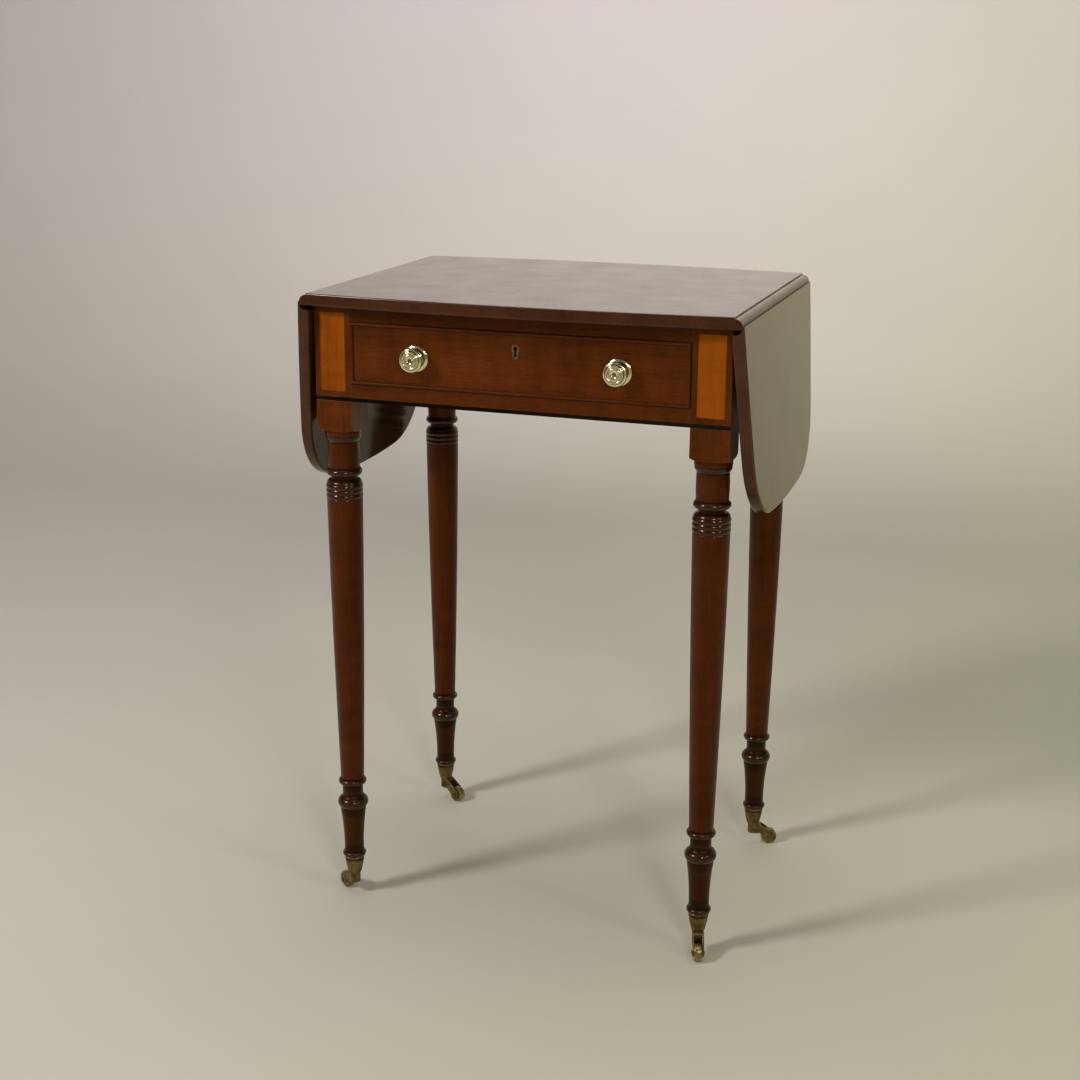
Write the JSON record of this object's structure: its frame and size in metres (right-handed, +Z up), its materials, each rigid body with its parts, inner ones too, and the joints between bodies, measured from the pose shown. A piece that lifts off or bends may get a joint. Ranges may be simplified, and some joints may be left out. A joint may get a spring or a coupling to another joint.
{
  "type": "pembroke table",
  "caption": "Small drop-leaf pembroke table with a bowed top, a frieze drawer, turned tapering legs and swivelling brass casters",
  "frame": {"origin": "on the floor, under the middle of the table", "axes": "+Z up; -Y towards the drawer front; +X to the right seen from the drawer front"},
  "size_m": [0.5196, 0.384, 0.7175],
  "materials": {
    "mahogany": "French polished, glossy",
    "rail_wood": "planed, unpolished",
    "drawer_wood": "planed, worn smooth",
    "satinwood": "polished veneer",
    "ebony": "polished stringing",
    "polished_brass": "turned and polished",
    "aged_brass": "darkened with age",
    "iron": "dull, bare"
  },
  "bodies": {
    "frame": {"table_top": "mahogany", "leg_front_left": "mahogany", "leg_front_right": "mahogany", "leg_back_left": "mahogany", "leg_back_right": "mahogany", "upper_drawer_rail": "mahogany", "lower_drawer_rail": "mahogany", "back_rail": "mahogany", "right_side_rail": "rail_wood", "left_side_rail": "rail_wood", "right_fly_rail": "rail_wood", "left_fly_rail": "rail_wood", "fly_pins": "iron", "drawer_runners": "rail_wood", "drawer_kickers": "rail_wood", "drawer_stops": "rail_wood", "corner_blocks": "rail_wood", "top_screws": "iron", "satinwood_panels": "satinwood", "ebony_lines": "ebony", "sham_cock_bead": "mahogany", "sham_knobs": "polished_brass", "sham_escutcheon": "polished_brass", "hinge_top_flaps": "aged_brass", "hinge_pins": "iron", "hinge_top_screws": "iron", "caster_cups": "aged_brass"},
    "leaf_right": {"right_leaf": "mahogany", "right_leaf_flaps": "aged_brass", "right_leaf_screws": "iron"},
    "leaf_left": {"left_leaf": "mahogany", "left_leaf_flaps": "aged_brass", "left_leaf_screws": "iron"},
    "fly_right": {"right_fly_bracket": "rail_wood"},
    "fly_left": {"left_fly_bracket": "rail_wood"},
    "drawer": {"drawer_front": "mahogany", "drawer_left_side": "drawer_wood", "drawer_right_side": "drawer_wood", "drawer_back": "drawer_wood", "drawer_bottom": "drawer_wood", "drawer_cock_bead": "mahogany", "drawer_left_knob": "polished_brass", "drawer_right_knob": "polished_brass", "knob_nuts": "aged_brass", "lock_case": "aged_brass", "keyhole_escutcheon": "polished_brass"},
    "bolt": {"lock_bolt": "aged_brass"},
    "swivel_front_left": {"caster_fork_front_left": "aged_brass", "caster_axle_front_left": "iron"},
    "wheel_front_left": {"caster_wheel_front_left": "aged_brass"},
    "swivel_front_right": {"caster_fork_front_right": "aged_brass", "caster_axle_front_right": "iron"},
    "wheel_front_right": {"caster_wheel_front_right": "aged_brass"},
    "swivel_back_left": {"caster_fork_back_left": "aged_brass", "caster_axle_back_left": "iron"},
    "wheel_back_left": {"caster_wheel_back_left": "aged_brass"},
    "swivel_back_right": {"caster_fork_back_right": "aged_brass", "caster_axle_back_right": "iron"},
    "wheel_back_right": {"caster_wheel_back_right": "aged_brass"}
  },
  "joints": [
    {"name": "drawer_slide", "type": "slide", "parent": "frame", "child": "drawer", "axis": [0, -1, 0], "range_m": [0, 0.24]},
    {"name": "right_leaf_hinge", "type": "hinge", "parent": "frame", "child": "leaf_right", "pos_m": [0.23312, 0, 0.7075], "axis": [0, -1, 0], "range_deg": [0, 85.5]},
    {"name": "left_leaf_hinge", "type": "hinge", "parent": "frame", "child": "leaf_left", "pos_m": [-0.23312, 0, 0.7075], "axis": [0, 1, 0], "range_deg": [0, 85.5]},
    {"name": "right_fly_hinge", "type": "hinge", "parent": "frame", "child": "fly_right", "pos_m": [0.20915, 0.04, 0.6655], "axis": [0, 0, 1], "range_deg": [0, 5]},
    {"name": "left_fly_hinge", "type": "hinge", "parent": "frame", "child": "fly_left", "pos_m": [-0.20915, 0.04, 0.6655], "axis": [0, 0, -1], "range_deg": [0, 5]},
    {"name": "lock_bolt_slide", "type": "slide", "parent": "drawer", "child": "bolt", "axis": [0, 0, 1], "range_m": [0, 0.0065]},
    {"name": "swivel_turn_front_left", "type": "hinge", "parent": "frame", "child": "swivel_front_left", "pos_m": [-0.209, -0.1445, 0.0285], "axis": [0, 0, 1], "continuous": true},
    {"name": "wheel_spin_front_left", "type": "hinge", "parent": "swivel_front_left", "child": "wheel_front_left", "pos_m": [-0.22515, -0.13188, 0.0098], "axis": [-0.6157, -0.788, 0], "continuous": true},
    {"name": "swivel_turn_front_right", "type": "hinge", "parent": "frame", "child": "swivel_front_right", "pos_m": [0.209, -0.1445, 0.0285], "axis": [0, 0, 1], "continuous": true},
    {"name": "wheel_spin_front_right", "type": "hinge", "parent": "swivel_front_right", "child": "wheel_front_right", "pos_m": [0.21465, -0.16421, 0.0098], "axis": [0.9613, 0.2756, 0], "continuous": true},
    {"name": "swivel_turn_back_left", "type": "hinge", "parent": "frame", "child": "swivel_back_left", "pos_m": [-0.209, 0.1445, 0.0285], "axis": [0, 0, 1], "continuous": true},
    {"name": "wheel_spin_back_left", "type": "hinge", "parent": "swivel_back_left", "child": "wheel_back_left", "pos_m": [-0.18974, 0.13749, 0.0098], "axis": [0.342, 0.9397, 0], "continuous": true},
    {"name": "swivel_turn_back_right", "type": "hinge", "parent": "frame", "child": "swivel_back_right", "pos_m": [0.209, 0.1445, 0.0285], "axis": [0, 0, 1], "continuous": true},
    {"name": "wheel_spin_back_right", "type": "hinge", "parent": "swivel_back_right", "child": "wheel_back_right", "pos_m": [0.22801, 0.15218, 0.0098], "axis": [-0.3746, 0.9272, 0], "continuous": true}
  ]
}
